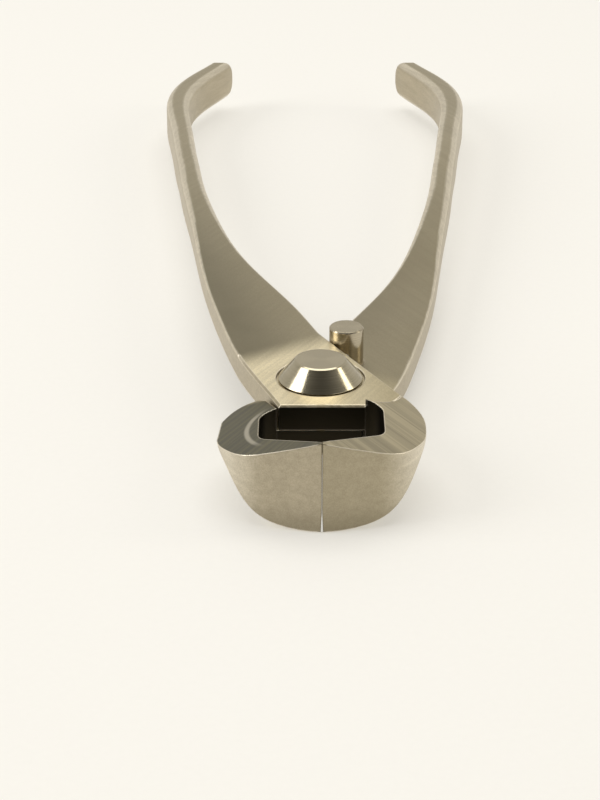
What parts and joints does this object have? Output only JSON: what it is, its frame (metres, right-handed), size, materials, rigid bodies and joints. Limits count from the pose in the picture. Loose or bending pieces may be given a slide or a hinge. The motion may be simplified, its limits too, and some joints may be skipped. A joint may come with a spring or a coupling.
{
  "type": "knob cutter",
  "caption": "All-steel knob cutter (end nippers): crossed levers on a conical rivet, hollow jaws meeting on a straight edge, stop pin, bent-in handle ends.",
  "frame": {"origin": "centre of the flat face of the rear rivet head, on the pivot axis, in the plane the closed tool rests on", "axes": "+Z along the pivot to the front rivet head, -Y to the jaws, +Y to the handles, +X to the side of the upper lever's jaw"},
  "size_m": [0.0644, 0.2053, 0.0148],
  "materials": {
    "satin_steel": "satin ground stainless steel",
    "turned_steel": "turned and polished stainless steel"
  },
  "bodies": {
    "lower": {"lower_lever": "satin_steel", "pivot_rivet": "turned_steel", "rear_head": "turned_steel", "stop_pin": "turned_steel"},
    "upper": {"upper_lever": "satin_steel"}
  },
  "joints": [
    {"name": "pivot", "type": "hinge", "parent": "lower", "child": "upper", "pos_m": [0, 0, 0.0074], "axis": [0, 0, 1], "range_deg": [0, 25]}
  ]
}
